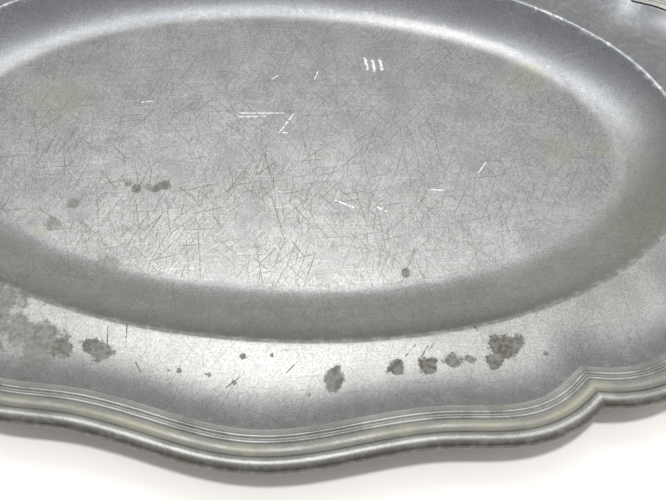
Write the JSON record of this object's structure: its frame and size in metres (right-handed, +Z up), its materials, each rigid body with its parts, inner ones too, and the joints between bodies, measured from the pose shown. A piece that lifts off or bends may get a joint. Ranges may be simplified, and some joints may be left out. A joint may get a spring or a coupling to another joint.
{
  "type": "oval pewter platter",
  "caption": "Oval pewter platter with a shallow flat well, a broad dished flange and a notched, reeded border with an outer bead.",
  "frame": {"origin": "centre of the flat resting face under the well", "axes": "+X along the platter's length, +Y away from the viewer across its width, +Z up"},
  "size_m": [0.39, 0.272, 0.0186],
  "materials": {
    "dish_pewter": "satin, scratched, with dark tarnish spots",
    "border_pewter": "satin, worn bright on the bead and dark in the cove"
  },
  "bodies": {
    "root": {"dish": "dish_pewter", "front_border": "border_pewter", "back_border": "border_pewter", "left_end_border": "border_pewter", "right_end_border": "border_pewter", "front_left_lobe": "border_pewter", "front_right_lobe": "border_pewter", "back_left_lobe": "border_pewter", "back_right_lobe": "border_pewter"}
  },
  "joints": []
}
